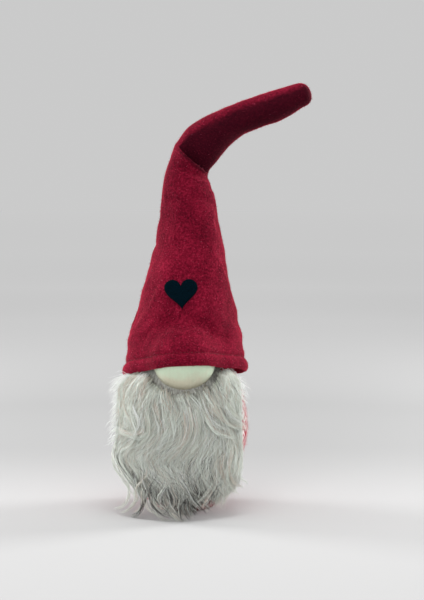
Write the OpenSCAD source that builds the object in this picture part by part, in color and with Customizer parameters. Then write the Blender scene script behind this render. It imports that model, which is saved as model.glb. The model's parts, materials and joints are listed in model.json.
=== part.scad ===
// Soft gnome figure: a weighted sack body, a fake-fur beard, a ball nose and a tall wired hat.
// The origin is the centre of the flat base, +Z is up and the face looks along -Y. Millimetres.

/* [Body] */
// Radius of the flat base
base_r = 32; // [30:1:36]
// Largest radius of the body
belly_r = 64; // [62:1:65]
// Height of the largest radius
belly_z = 80; // [76:1:82]
// Height of the tied neck
neck_z = 172; // [170:1:174]
// Thickness of the body cloth
body_cloth = 1.8; // [1.4:0.1:2.2]

/* [Hat] */
// Radius of the hat at its hem
hat_r = 62; // [61:0.5:63]
// Height of the hem at the sides
hem_z = 136; // [134:1:138]
// Width of the turned-up hem
hem_w = 12.5; // [9:0.5:14]
// Height of the centre of the bend
bend_z = 348; // [344:1:352]
// Radius of the tip at the bend
bend_r = 20; // [18:0.5:20]
// Thickness of the fleece
fleece = 1.8; // [1.4:0.1:2.2]
// Width of the heart
heart_w = 32; // [24:1:36]

/* [Nose] */
// Radius of the nose
nose_r = 31; // [29:1:31]
// Height of the centre of the nose
nose_z = 154; // [152:1:156]

/* [Beard] */
// Length of the pile, measured out from the body
pile = 10; // [8:1:12]
// Height of the line that the beard folds on
fold_z = 112; // [110:1:114]
// Half of the angle that the backing goes round the body
wrap = 60; // [50:1:62]

/* [Hidden] */
$fn = 72;

far = 400;                 // larger than the figure, for cuts
gap = 0.3;                 // clearance between pieces of one body
free = 0.7;                // clearance round pieces that move
welt = 1.2;                // how far a seam stands out
thread_r = 0.5;            // sewing thread
wire_r = 1;                // wire in the hat

// Sack: a quarter sine up to the belly, an ellipse above it, then a straight run in to the neck
panel_t = 1.6;             // bottom panel
board_t = 2;               // card disc
shoulder_h = 93;           // height of the ellipse above the belly
neck_r = 9;
neck_from = neck_z - 8;    // where the cloth turns in to the tie
gather_r = 17;             // flare of the cloth above the tie
gather_h = 14;
gather_t = 3;
tie_r = 1.5;
seam_low_z = 4;            // ends of the sack's back seam
seam_high_z = 134;
line_step = 8;             // the outlines share their points, so that layers stay apart
function heights(low, high) = concat(
  [low],
  [for (k = [floor(low / line_step) + 1:ceil(high / line_step) - 1]) k * line_step],
  [high]
);
function body_r(z) = z < belly_z
  ? base_r + (belly_r - base_r) * sin(90 * z / belly_z)
  : belly_r * sqrt(1 - pow((z - belly_z) / shoulder_h, 2));
function body_line(low, high, out) = [for (z = heights(low, high)) [body_r(z) + out, z]];
function reversed(list) = [for (i = [len(list) - 1:-1:0]) list[i]];

// Bag of weights: it stands on the card disc
bag_z = panel_t + board_t + gap;
bag_top = 42;              // top of its side wall
bag_dome = [28, 4];        // radius and rise of the middle of its top
bag_rise = 5;              // height of its tied mouth above the side wall
bag_mouth = 3;
bag_cloth = 0.8;
bag_steps = 8;

// Nose: a ball pressed into the front of the body
nose_x = 1.7;
nose_y = -46;
jersey = 1.2;
gather_hole = 3;           // the gathered opening at the back of the nose

// Hat: a cone on its own centre line, cut below by a tilted plane and above by the bend
hat_x = 4.5;
cone_top_r = 19;           // radius that the cone would have at the bend's height
cone_foot_z = 110;         // the cone is drawn from here, and the hem plane cuts it
hem_pitch = 9;             // the nose lifts the front of the hem
hem_roll = 2;              // the hem is a little higher on the +X side
hem_out = 2.4;             // the hem stands this far off the cone
stitch_w = 0.8;
felt = 2;
function cone_r(z) = hat_r + (cone_top_r - hat_r) * (z - hem_z) / (bend_z - hem_z);
filling_z = neck_z + gather_h + 12;  // foot of the hat's filling
filling_drop = 2;          // the filling's top is this far below the bend's room
eye_r = 4;                 // eye at the foot of the wire
heart_at = [-1.2, 217];    // middle of the heart, X and Z
heart_lean = 3.4;
heart_lobe = 0.27;         // radius of a lobe and height, as shares of the width
heart_h = 0.97;

// Bend: the tip turns about a line along Y through this point
bend = [7, 0, bend_z];
cut_left_z = bend_z - 10;  // the cone's upper edge on its -X side
cut_slope = 13.4;          // the edge drops towards +X, as the fold does

// Tip: its centre line from the bend, as X, Z and a share of the radius at the bend
tip_route = [
  [0, 0, 1], [13, 14, 1], [30, 29, 0.9], [47, 39, 0.8],
  [66, 46, 0.79], [85, 53, 0.79], [101, 60, 0.64], [112, 66, 0.54]
];
tip_sides = 28;
tip_steps = 3;             // rings in each stretch of the route
ball_rings = 4;
ball_open = 50;            // the root of the tip is open inside this angle
cap_rings = 5;
wire_sides = 10;
seam_sides = 8;

// Beard: it hangs straight down from the belly, and lifts about a line across its front
backing_t = 1;
backing_low_z = 22;
pile_low_z = 4;
bib_r = 66;                // round top and half width of the part that lifts
bib_side_z = 50;           // its sides run straight down to here
bib_foot_w = 36;           // half width of its foot
pile_wrap = 68;            // half of the angle that the pile goes round
wedge = 40;                // slope of the pile above and below the fold
top_low_z = 84;            // the part that stays, at the sides
top_high_z = 150;
function drape_r(z) = z < belly_z ? belly_r : body_r(z);
function drape_line(low, high, out) = [for (z = heights(low, high)) [drape_r(z) + out, z]];

// ---------- shapes that several pieces share ----------

// Everything inside the sack's outline moved out by "out"
module sack_solid(out, low) {
  rotate_extrude()
    polygon(concat(
      [[0, low]],
      body_line(low, neck_from, out),
      [[neck_r + out, neck_z], [0, neck_z]]
    ));
}

module nose_ball(out) {
  translate([nose_x, nose_y, nose_z])
    sphere(r = nose_r + out);
}

// Half space above the hem plane, moved up along its own normal
module above_hem(up) {
  translate([hat_x, 0, hem_z])
    rotate([-hem_pitch, -hem_roll, 0])
      translate([-far, -far, up])
        cube([2 * far, 2 * far, far]);
}

// The hat's outer surface moved out by "out": the cone and the bulge over the nose
module hat_solid(out) {
  translate([hat_x, 0, 0])
    rotate_extrude()
      polygon([
        [0, cone_foot_z],
        [cone_r(cone_foot_z) + out, cone_foot_z],
        [cone_r(bend_z) + out, bend_z],
        [0, bend_z]
      ]);
  nose_ball(fleece + gap + out);
}

// The room that the tip needs over its whole range
module tip_room() {
  translate(bend)
    sphere(r = bend_r + free);
  translate([hat_x - cone_r(cut_left_z), 0, cut_left_z])
    rotate([0, cut_slope, 0])
      translate([-far / 2, -far / 2, 0])
        cube([far, far, far]);
}

// The layer of the hat between two outward offsets and two heights above the hem plane
module hat_layer(inner, outer, low, high) {
  difference() {
    intersection() {
      hat_solid(outer);
      above_hem(low);
    }
    hat_solid(inner);
    above_hem(high);
    tip_room();
  }
}

// A wedge of "half" degrees each side of the front
module front_sector(half) {
  rotate([0, 0, -90 - half])
    rotate_extrude(angle = 2 * half)
      square([far / 2, far]);
}

// The part of the beard that lifts, in front view: a bar along Y
module bib(out) {
  mid_z = fold_z - bib_r;
  rotate([90, 0, 0])
    linear_extrude(far)
      union() {
        intersection() {
          translate([0, mid_z])
            circle(r = bib_r + out);
          translate([-far, mid_z])
            square([2 * far, far]);
        }
        polygon([
          [-bib_r - out, mid_z + 1], [-bib_r - out, min(bib_side_z, mid_z)],
          [-bib_foot_w, pile_low_z], [bib_foot_w, pile_low_z],
          [bib_r + out, min(bib_side_z, mid_z)], [bib_r + out, mid_z + 1]
        ]);
      }
}

// Half space above (side = 1) or below (side = -1) a plane through the fold line
module fold_side(side) {
  translate([0, -drape_r(fold_z) - free - backing_t / 2, fold_z + side * gap])
    rotate([-side * wedge, 0, 0])
      translate([-far, -far, side > 0 ? 0 : -far])
        cube([2 * far, 2 * far, far]);
}

// The layer in front of the body between two distances from it
module front_layer(near, away, low, high) {
  rotate_extrude()
    polygon(concat(drape_line(low, high, near), reversed(drape_line(low, high, away))));
}

// ---------- sack body ----------

module base_panel() {
  color("firebrick")
    cylinder(r = base_r, h = panel_t);
}

module base_seam() {
  color("white")
    rotate_extrude()
      translate([body_r(panel_t) + 2 * thread_r, panel_t])
        circle(r = thread_r, $fn = 16);
}

module base_board() {
  color("burlywood")
    translate([0, 0, panel_t])
      cylinder(r = base_r - body_cloth, h = board_t);
}

// Outline of the bag of weights moved in by "in": its side wall, then its top up to the mouth
function bag_line(in) = concat(
  [
    for (i = [0:bag_steps]) let(z = bag_z + in + (bag_top - bag_z - 2 * in) * i / bag_steps)
      [body_r(z) - body_cloth - 2 * gap - in, z]
  ],
  [[bag_dome[0], bag_top + bag_dome[1] - in], [bag_mouth, bag_top + bag_rise - in]]
);

module weight_bag() {
  color("linen")
    difference() {
      rotate_extrude()
        polygon(concat([[0, bag_z]], bag_line(0), [[0, bag_top + bag_rise]]));
      rotate_extrude()
        polygon(concat(
          [[0, bag_z + bag_cloth]],
          bag_line(bag_cloth),
          [[bag_mouth, bag_top + bag_rise + 1], [0, bag_top + bag_rise + 1]]
        ));
    }
}

module weight_pellets() {
  inset = bag_cloth + gap;
  color("gray")
    rotate_extrude()
      polygon(concat([[0, bag_z + inset]], bag_line(inset), [[0, bag_top + bag_rise - inset]]));
}

// The cloth wall with the dent behind the nose, and the gathered cloth above the tie
module body_cover() {
  color("crimson")
    union() {
      difference() {
        sack_solid(0, panel_t);
        nose_ball(gap);
        difference() {
          sack_solid(-body_cloth, 0);
          nose_ball(gap + body_cloth);
        }
      }
      translate([0, 0, neck_z])
        rotate_extrude()
          polygon([
            [0, 0], [neck_r, 0], [gather_r, gather_h], [gather_r - gather_t, gather_h], [0, gather_t]
          ]);
    }
}

module body_back_seam() {
  half = 0.7;
  rotate([0, 0, 90 - half])
    color("darkred")
      rotate_extrude(angle = 2 * half)
        polygon(concat(
          body_line(seam_low_z, seam_high_z, gap / 3),
          reversed(body_line(seam_low_z, seam_high_z, welt))
        ));
}

module body_stuffing() {
  color("whitesmoke")
    difference() {
      sack_solid(-body_cloth - gap, bag_top + bag_rise + gap);
      nose_ball(2 * gap + body_cloth);
    }
}

module neck_tie() {
  color("tan")
    translate([0, 0, neck_z + 2])
      rotate_extrude()
        translate([neck_r + 4, 0])
          circle(r = tie_r, $fn = 24);
}

// ---------- nose ----------

module nose_cover() {
  color("beige")
    difference() {
      nose_ball(0);
      nose_ball(-jersey);
      translate([nose_x, nose_y, nose_z])
        rotate([-90, 0, 0])
          cylinder(r = gather_hole, h = 2 * nose_r);
    }
}

module nose_stuffing() {
  color("whitesmoke")
    nose_ball(-jersey - gap);
}

module nose_gather_thread() {
  color("white")
    translate([nose_x, nose_y + nose_r - jersey / 2, nose_z])
      rotate([90, 0, 0])
        rotate_extrude()
          translate([gather_hole - 2 * thread_r, 0])
            circle(r = thread_r, $fn = 16);
}

// ---------- hat ----------

module hat_cover() {
  color("crimson")
    hat_layer(-fleece, 0, 0, far);
}

module hat_hem() {
  color("firebrick")
    hat_layer(gap / 3, hem_out, 0, hem_w);
}

module hem_stitch() {
  low = hem_w + gap;
  color("darkred")
    hat_layer(gap / 3, 2 * thread_r, low, low + stitch_w);
}

module hat_back_seam() {
  color("darkred")
    intersection() {
      hat_layer(gap / 3, welt, hem_w + 2, far);
      translate([hat_x - 1.5, 0, 0])
        cube([3, far, far]);
    }
}

module hat_stuffing() {
  color("whitesmoke")
    difference() {
      hat_solid(-fleece - gap);
      translate([-far, -far, filling_z - far])
        cube([2 * far, 2 * far, far]);
      nose_ball(gap);
      translate([0, 0, -filling_drop])
        tip_room();
      translate([hat_x, 0, 0])
        cylinder(r = wire_r + gap, h = far);
    }
}

module hat_wire() {
  foot_z = filling_z - eye_r - 2 * wire_r;
  color("silver")
    translate([hat_x, 0, foot_z]) {
      cylinder(r = wire_r, h = bend_z - bend_r - 3 - foot_z);
      translate([-eye_r, 0, 0])
        rotate([90, 0, 0])
          rotate([0, 0, 90])
            rotate_extrude(angle = 270)
              translate([eye_r, 0])
                circle(r = wire_r, $fn = 16);
    }
}

// A heart with its point down and its middle at the origin: two lobes and their tangents
module heart_2d(w) {
  lobe = heart_lobe * w;
  lobe_x = w / 2 - lobe;
  point = [0, lobe - heart_h * w];
  reach = norm([lobe_x, point[1]]);
  a = atan2(-point[1], lobe_x) - asin(lobe / reach);
  side = sqrt(reach * reach - lobe * lobe);
  touch = point + side * [cos(a), sin(a)];
  translate([0, heart_h * w / 2 - lobe]) {
    for (s = [-1, 1])
      translate([s * lobe_x, 0])
        circle(r = lobe);
    polygon([point, touch, [lobe_x, 0], [0, lobe / 3], [-lobe_x, 0], [-touch[0], touch[1]]]);
  }
}

module heart_patch() {
  color("darkslategray")
    intersection() {
      hat_layer(gap / 3, felt, hem_w, far);
      translate([heart_at[0], 0, heart_at[1]])
        rotate([90, heart_lean, 0])
          linear_extrude(far / 2)
            heart_2d(heart_w);
    }
}

// ---------- hat tip ----------

// A smooth curve through the route, with tip_steps points in each stretch
function route_at(i) = tip_route[min(max(i, 0), len(tip_route) - 1)];
function smooth(a, b, c, d, t) = 0.5 * (
  2 * b + (c - a) * t + (2 * a - 5 * b + 4 * c - d) * pow(t, 2) + (3 * b - a - 3 * c + d) * pow(t, 3)
);
centre_line = [
  for (i = [0:len(tip_route) - 2]) for (s = [0:tip_steps - 1])
    smooth(route_at(i - 1), route_at(i), route_at(i + 1), route_at(i + 2), s / tip_steps),
  route_at(len(tip_route) - 1)
];
last = len(centre_line) - 1;
function heading(i) = let(
    a = centre_line[max(i - 1, 0)],
    b = centre_line[min(i + 1, last)],
    d = [b[0] - a[0], b[1] - a[1]]
  ) d / norm(d);

// A station is [x, z, heading, radius, y]. The tip is a ball at its root, a tube and a round end.
function root_stations(in, open) = [
  for (k = [0:ball_rings - 1]) let(
      a = open + (90 - open) * k / ball_rings,
      u = heading(0),
      r = bend_r - in
    ) [-u[0] * r * cos(a), -u[1] * r * cos(a), u, r * sin(a), 0]
];
function tube_stations(in) = [
  for (i = [0:last])
    [centre_line[i][0], centre_line[i][1], heading(i), centre_line[i][2] * bend_r - in, 0]
];
function cap_stations(in) = let(u = heading(last), r = centre_line[last][2] * bend_r - in) [
  for (k = [1:cap_rings]) let(a = 84 * k / cap_rings, s = r * sin(a))
    [centre_line[last][0] + u[0] * s, centre_line[last][1] + u[1] * s, u, r * cos(a), 0]
];
function tip_stations(in, open) =
  concat(root_stations(in, open), tube_stations(in), cap_stations(in));

function ring(s, sides) = [
  for (k = [0:sides - 1]) let(a = 360 * k / sides, w = s[3] * cos(a))
    bend + [s[0] - s[2][1] * w, s[4] + s[3] * sin(a), s[1] + s[2][0] * w]
];
function rings(list, sides) = [for (s = list) each ring(s, sides)];
// Faces between ring i and ring j, and over ring i, towards the tip's end or away from it
function wall(i, j, sides) = [
  for (k = [0:sides - 1]) let(n = (k + 1) % sides)
    each [
      [i * sides + k, i * sides + n, j * sides + n],
      [i * sides + k, j * sides + n, j * sides + k]
    ]
];
function walls(first, end, sides) = [for (i = [first:end - 1]) each wall(i, i + 1, sides)];
function lid(i, sides, outward) = [
  for (k = [1:sides - 2]) let(p = i * sides + k)
    outward ? [i * sides, p, p + 1] : [i * sides, p + 1, p]
];

module swept(list, sides) {
  n = len(list);
  polyhedron(
    points = rings(list, sides),
    faces = concat(lid(0, sides, false), walls(0, n - 1, sides), lid(n - 1, sides, true))
  );
}

module tip_cover() {
  outer = tip_stations(0, ball_open);
  inner = tip_stations(fleece, ball_open);
  n = len(outer);
  color("crimson")
    polyhedron(
      points = rings(concat(outer, reversed(inner)), tip_sides),
      faces = concat(
        walls(0, n - 1, tip_sides),
        lid(n - 1, tip_sides, true),
        lid(n, tip_sides, false),
        walls(n, 2 * n - 1, tip_sides),
        wall(2 * n - 1, 0, tip_sides)
      )
    );
}

// The wire runs along the tip's centre line, from the bend to short of the round end
function wire_stations(r) = [
  for (i = [1:last - 2])
    [centre_line[i][0], centre_line[i][1], heading(i), r, 0]
];

module tip_stuffing() {
  color("whitesmoke")
    difference() {
      swept(tip_stations(fleece + gap, ball_open / 2), tip_sides);
      swept(wire_stations(wire_r + gap), wire_sides);
    }
}

module tip_wire() {
  color("silver")
    swept(wire_stations(wire_r), wire_sides);
}

// The hat's back seam goes on along the back of the tip
module tip_seam() {
  color("darkred")
    swept(
      [
        for (i = [2:last])
          [
            centre_line[i][0], centre_line[i][1], heading(i), thread_r,
            centre_line[i][2] * bend_r + 2 * thread_r
          ]
      ],
      seam_sides
    );
}

// ---------- beard ----------

// The hat's cloth below the line where the hat covers the beard
module under_hat() {
  difference() {
    above_hem(-gap);
    hat_solid(-fleece - gap);
  }
}

module beard_top_backing() {
  color("gainsboro")
    difference() {
      intersection() {
        front_layer(gap, gap + backing_t, top_low_z, top_high_z);
        front_sector(wrap);
      }
      nose_ball(gap);
      bib(gap);
    }
}

module beard_top_pile() {
  color("silver")
    difference() {
      intersection() {
        front_layer(2 * gap + backing_t, pile, top_low_z, top_high_z);
        front_sector(pile_wrap);
        fold_side(1);
      }
      nose_ball(gap);
      bib(gap);
      under_hat();
    }
}

module beard_backing() {
  color("gainsboro")
    intersection() {
      front_layer(free, free + backing_t, backing_low_z, fold_z);
      front_sector(wrap);
      bib(-gap);
    }
}

module beard_pile() {
  color("silver")
    intersection() {
      front_layer(free + backing_t + gap, free + backing_t + pile, pile_low_z, fold_z);
      front_sector(pile_wrap);
      bib(-gap);
      fold_side(-1);
    }
}

base_panel();
base_seam();
base_board();
weight_bag();
weight_pellets();
body_cover();
body_back_seam();
body_stuffing();
neck_tie();
beard_top_backing();
beard_top_pile();
nose_cover();
nose_stuffing();
nose_gather_thread();
hat_cover();
hat_hem();
hem_stitch();
hat_back_seam();
hat_stuffing();
hat_wire();
heart_patch();
beard_backing();
beard_pile();
tip_cover();
tip_stuffing();
tip_wire();
tip_seam();
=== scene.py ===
"""Looks of the gnome figure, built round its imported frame. Metres, +Z up, the face looks along -Y."""
import json
import math

import bpy
import numpy as np
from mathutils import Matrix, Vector, noise
from mathutils.bvhtree import BVHTree


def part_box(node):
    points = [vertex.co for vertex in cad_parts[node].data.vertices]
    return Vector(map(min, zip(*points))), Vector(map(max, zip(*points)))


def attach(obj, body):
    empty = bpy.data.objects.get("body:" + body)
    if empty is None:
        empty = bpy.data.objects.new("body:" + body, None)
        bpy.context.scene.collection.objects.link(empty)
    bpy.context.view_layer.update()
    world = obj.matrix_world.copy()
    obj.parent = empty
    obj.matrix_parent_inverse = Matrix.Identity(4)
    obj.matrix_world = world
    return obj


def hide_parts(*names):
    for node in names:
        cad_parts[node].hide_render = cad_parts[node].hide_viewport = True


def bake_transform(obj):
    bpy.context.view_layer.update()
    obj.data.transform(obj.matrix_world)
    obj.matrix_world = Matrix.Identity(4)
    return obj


MM = 0.001
SEED = 11
rng = np.random.default_rng(SEED)

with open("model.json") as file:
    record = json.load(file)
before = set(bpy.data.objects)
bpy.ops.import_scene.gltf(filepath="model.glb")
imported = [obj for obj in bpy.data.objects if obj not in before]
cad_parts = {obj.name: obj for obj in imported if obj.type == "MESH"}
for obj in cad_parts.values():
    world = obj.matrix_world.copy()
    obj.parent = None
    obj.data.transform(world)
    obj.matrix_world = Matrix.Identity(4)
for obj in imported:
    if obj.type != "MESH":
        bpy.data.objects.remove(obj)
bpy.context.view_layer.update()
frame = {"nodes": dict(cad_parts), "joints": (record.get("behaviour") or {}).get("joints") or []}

# ---------- places read from the frame ----------

JOINTS = {j["name"]: j for j in frame["joints"]}
BEND = np.array(JOINTS["hat_tip_bend"]["pos_m"], float)
BASE_LOW, BASE_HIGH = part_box("base_panel")
BODY_LOW, BODY_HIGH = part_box("body_cover")
NOSE_LOW, NOSE_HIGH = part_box("nose_cover")
HEART_LOW, HEART_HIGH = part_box("heart_patch")
SEAM_LOW, SEAM_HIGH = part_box("body_back_seam")

BASE_R = (BASE_HIGH.x - BASE_LOW.x) / 2
BELLY_R = (BODY_HIGH.x - BODY_LOW.x) / 2
NOSE_R = (NOSE_HIGH.x - NOSE_LOW.x) / 2
NOSE = np.array((NOSE_LOW + NOSE_HIGH) / 2)
HEART = np.array((HEART_LOW + HEART_HIGH) / 2)
HEART_W = HEART_HIGH.x - HEART_LOW.x

FOLD_LEAN = math.radians(40)
BEND_WAY = np.array([math.sin(FOLD_LEAN), 0, math.cos(FOLD_LEAN)])   # across the hat's fold, tipwards

# ---------- sizes ----------

BELLY_Z = 80 * MM          # height of the sack's widest place
SHOULDER_H = 93 * MM       # from there to where its rounding would close
NECK_Z = 164 * MM
HEM_Z = 134 * MM           # height of the hem at the sides
HEM_PITCH = math.radians(12.5)
HEM_ROLL = math.radians(2.5)
BULGE_R = NOSE_R + 2.1 * MM
BULGE_SOFT = 11 * MM       # how widely the fleece bridges from the cone to the nose


# ---------- small helpers ----------

def smooth01(x):
    """0 below 0, 1 above 1, and smooth between."""
    x = np.clip(x, 0, 1)
    return x * x * (3 - 2 * x)


def unit(v):
    return v / np.maximum(np.linalg.norm(v, axis=-1, keepdims=True), 1e-12)


def field(points, size, seed=0.0):
    """Smooth noise from about -1 to 1 at each point, with features of that size."""
    shift = Vector((seed * 17.3, seed * 5.1, seed * 9.7))
    return np.array([noise.noise(Vector(p) / size + shift) for p in points])


def level_ring(turn, r, z):
    """Points round the Z axis, turned from +X."""
    return np.stack([r * np.cos(turn), r * np.sin(turn), z + 0 * turn], -1)


def around_front(angle, r, z):
    """Points round the Z axis, turned from the front towards +X."""
    return np.stack([r * np.sin(angle), -r * np.cos(angle), z], -1)


def body_r(z):
    """Radius of the sack at height z."""
    low = BASE_R + (BELLY_R - BASE_R) * np.sin(np.pi / 2 * np.clip(z / BELLY_Z, 0, 1))
    high = BELLY_R * np.sqrt(np.clip(1 - ((z - BELLY_Z) / SHOULDER_H) ** 2, 0, 1))
    return np.where(z < BELLY_Z, low, high)


def drape_r(z):
    """Radius that the beard hangs at: straight down from the belly."""
    return np.where(z < BELLY_Z, BELLY_R, body_r(z))


def out_of_nose(points, gap=1.2 * MM):
    """Moves points that would lie in the nose out to its surface."""
    away = points - NOSE
    near = np.linalg.norm(away, axis=-1, keepdims=True)
    clear = NOSE_R + gap
    return np.where(near < clear, NOSE + away / near * clear, points)


def add_object(name, data):
    obj = bpy.data.objects.new(name, data)
    bpy.context.scene.collection.objects.link(obj)
    return obj


def make_object(name, verts, faces):
    mesh = bpy.data.meshes.new(name)
    mesh.from_pydata(np.asarray(verts).tolist(), [], [list(f) for f in faces])
    mesh.update()
    mesh.polygons.foreach_set("use_smooth", [True] * len(mesh.polygons))
    return add_object(name, mesh)


def object_of_arrays(name, verts, *face_groups):
    """Like make_object, quickly, for many faces: each group is an array with one face a row."""
    mesh = bpy.data.meshes.new(name)
    corners = np.concatenate([g.ravel() for g in face_groups]).astype(np.int32)
    sizes = np.concatenate([np.full(len(g), g.shape[1]) for g in face_groups])
    mesh.vertices.add(len(verts))
    mesh.vertices.foreach_set("co", np.ascontiguousarray(verts, np.float32).ravel())
    mesh.loops.add(len(corners))
    mesh.loops.foreach_set("vertex_index", corners)
    mesh.polygons.add(len(sizes))
    mesh.polygons.foreach_set("loop_start", (np.cumsum(sizes) - sizes).astype(np.int32))
    mesh.update(calc_edges=True)
    mesh.polygons.foreach_set("use_smooth", np.ones(len(sizes), bool))
    return add_object(name, mesh)


def ring_faces(count, sides):
    """Quads between rings that follow one another, and a lid on each end."""
    faces = []
    for i in range(count - 1):
        for k in range(sides):
            n = (k + 1) % sides
            faces.append((i * sides + k, i * sides + n, (i + 1) * sides + n, (i + 1) * sides + k))
    faces.append(tuple(range(sides))[::-1])
    faces.append(tuple((count - 1) * sides + k for k in range(sides)))
    return faces


def closed_rings(name, rings):
    """A closed skin through rings of points, given as an array (rings, sides, 3)."""
    rings = np.asarray(rings)
    return make_object(name, rings.reshape(-1, 3), ring_faces(len(rings), rings.shape[1]))


def subdivide(obj):
    """Divides each face in four, rounded."""
    obj.modifiers.new("finer", "SUBSURF").levels = 1
    mesh = bpy.data.meshes.new_from_object(obj.evaluated_get(bpy.context.evaluated_depsgraph_get()))
    obj.modifiers.clear()
    old = obj.data
    obj.data = mesh
    bpy.data.meshes.remove(old)


def coordinates(obj):
    co = np.zeros(len(obj.data.vertices) * 3)
    obj.data.vertices.foreach_get("co", co)
    return co.reshape(-1, 3)


def set_coordinates(obj, co):
    obj.data.vertices.foreach_set("co", np.asarray(co).ravel())
    obj.data.update()


def normals(obj):
    out = np.zeros(len(obj.data.vertices) * 3)
    obj.data.vertices.foreach_get("normal", out)
    return out.reshape(-1, 3)


def push(obj, amount):
    """Moves each vertex along its normal by its own amount."""
    set_coordinates(obj, coordinates(obj) + normals(obj) * np.asarray(amount)[:, None])


def keep_painted_shade(obj, shade):
    """Keeps how much painted shade each vertex of a piece has, from 0 to 1, for its material to read."""
    kept = obj.data.attributes.new("shade", "FLOAT", "POINT")
    kept.data.foreach_set("value", np.asarray(shade, np.float32))


def dress(obj, *materials):
    """Gives a piece its materials, and keeps its places at rest for them to read."""
    for m in materials:
        obj.data.materials.append(m)
    rest = obj.data.attributes.get("rest") or obj.data.attributes.new("rest", "FLOAT_VECTOR", "POINT")
    rest.data.foreach_set("vector", coordinates(obj).ravel())
    return obj


CLOTH_SETTINGS = {
    "quality": 4,
    "mass": 0.2,
    "tension_stiffness": 12,
    "compression_stiffness": 12,
    "shear_stiffness": 4,
    "bending_stiffness": 0.4,
    "shrink_min": -0.05,
    "use_pressure": True,
    "uniform_pressure_force": 4,
}
CLOTH_FRAMES = 20


def inflate(obj, held, most, smaller):
    """Lets a padded cloth fill out under pressure: it starts smaller, and moves at most that far."""
    push(obj, np.full(len(obj.data.vertices), -smaller))
    before = coordinates(obj)
    group = obj.vertex_groups.new(name="held")
    for i in np.nonzero(held)[0]:
        group.add([int(i)], 1.0, "REPLACE")
    cloth = obj.modifiers.new("cloth", "CLOTH")
    for setting, value in CLOTH_SETTINGS.items():
        setattr(cloth.settings, setting, value)
    cloth.settings.effector_weights.gravity = 0
    cloth.settings.vertex_group_mass = "held"
    cloth.collision_settings.use_collision = False
    cloth.collision_settings.use_self_collision = False
    scene = bpy.context.scene
    for frame_number in range(1, CLOTH_FRAMES + 1):
        scene.frame_set(frame_number)
    shaped = obj.evaluated_get(bpy.context.evaluated_depsgraph_get())
    after = np.zeros(before.size)
    shaped.data.vertices.foreach_get("co", after)
    obj.modifiers.clear()
    obj.vertex_groups.clear()
    scene.frame_set(1)
    move = after.reshape(-1, 3) - before
    far = np.maximum(np.linalg.norm(move, axis=1, keepdims=True), 1e-9)
    set_coordinates(obj, before + move / far * most * np.tanh(far / most))


# ---------- strands, threads and fuzz: many thin closed tubes in one mesh ----------

def tubes(name, paths, radii, tint=None, sides=3):
    """One mesh of closed tubes: paths (tubes, points, 3), radii (tubes, points), a material index for each."""
    paths, radii = np.asarray(paths, float), np.asarray(radii, float)
    count, length = radii.shape
    along = unit(np.gradient(paths, axis=1))
    across = np.empty_like(paths)
    across[:, 0] = unit(np.cross(along[:, 0], rng.normal(size=(count, 3))))
    for k in range(1, length):
        carried = across[:, k - 1] - along[:, k] * (across[:, k - 1] * along[:, k]).sum(1, keepdims=True)
        across[:, k] = unit(carried)
    other = np.cross(along, across)
    angle = 2 * np.pi * np.arange(sides) / sides
    ring = across[:, :, None] * np.cos(angle)[:, None] + other[:, :, None] * np.sin(angle)[:, None]
    verts = paths[:, :, None] + ring * radii[:, :, None, None]
    base = (np.arange(count) * length * sides)[:, None, None]
    step = (np.arange(length - 1) * sides)[None, :, None]
    k = np.arange(sides)[None, None, :]
    n = (k + 1) % sides
    quads = np.stack([base + step + k, base + step + n, base + step + sides + n, base + step + sides + k], -1)
    first = base[:, 0] + np.arange(sides)[::-1]
    final = base[:, 0] + (length - 1) * sides + np.arange(sides)
    obj = object_of_arrays(name, verts.reshape(-1, 3), quads.reshape(-1, 4), first, final)
    if tint is not None:
        tint = np.asarray(tint)
        per_face = np.concatenate([np.repeat(tint, (length - 1) * sides), tint, tint])
        obj.data.polygons.foreach_set("material_index", per_face.astype(np.int32))
    return obj


def surface_points(obj, count, keep=None):
    """Random points on an object's surface with their normals. keep says which face centres may be used."""
    mesh = obj.data
    mesh.calc_loop_triangles()
    tri = np.zeros(len(mesh.loop_triangles) * 3, np.int32)
    mesh.loop_triangles.foreach_get("vertices", tri)
    corners = coordinates(obj)[tri.reshape(-1, 3)]
    cross = np.cross(corners[:, 1] - corners[:, 0], corners[:, 2] - corners[:, 0])
    weight = np.linalg.norm(cross, axis=1)
    if keep is not None:
        weight = weight * keep(corners.mean(1), unit(cross))
    pick = rng.choice(len(weight), count, p=weight / weight.sum())
    u, v = rng.random((2, count))
    flip = u + v > 1
    u, v = np.where(flip, 1 - u, u), np.where(flip, 1 - v, v)
    c = corners[pick]
    points = c[:, 0] + (c[:, 1] - c[:, 0]) * u[:, None] + (c[:, 2] - c[:, 0]) * v[:, None]
    return points, unit(cross[pick])


def fuzz(name, obj, count, length, thickness, tints, lean=0.9, keep=None, shaded_share=None):
    """Short fibres that stand out of a cloth at random angles. shaded_share is the share with the first tint,
    which the hat's fibres take in its painted shade.
    """
    points, out = surface_points(obj, count, keep)
    heading = unit(out + rng.normal(size=(count, 3)) * lean * 0.5)
    reach = length * rng.uniform(0.5, 1.3, count)[:, None]
    bow = rng.normal(size=(count, 3)) * reach * 0.25
    root = points - out * length * 0.15
    paths = np.stack([root, points + heading * reach * 0.55 + bow * 0.4, points + heading * reach + bow], 1)
    radii = thickness / 2 * np.array([1, 0.8, 0.25]) * rng.uniform(0.7, 1.2, count)[:, None]
    tint = rng.choice(len(tints), count, p=tints)
    if shaded_share is not None:
        tint = np.where(rng.random(count) < shaded_share(points, out), 0, tint)
    return tubes(name, paths, radii, tint)


# ---------- materials ----------

def srgb(r, g, b):
    """A colour given as 0 to 255 display values, as the linear values that shaders take."""
    def linear(x):
        x /= 255
        return x / 12.92 if x <= 0.04045 else ((x + 0.055) / 1.055) ** 2.4
    return (linear(r), linear(g), linear(b), 1)


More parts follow.
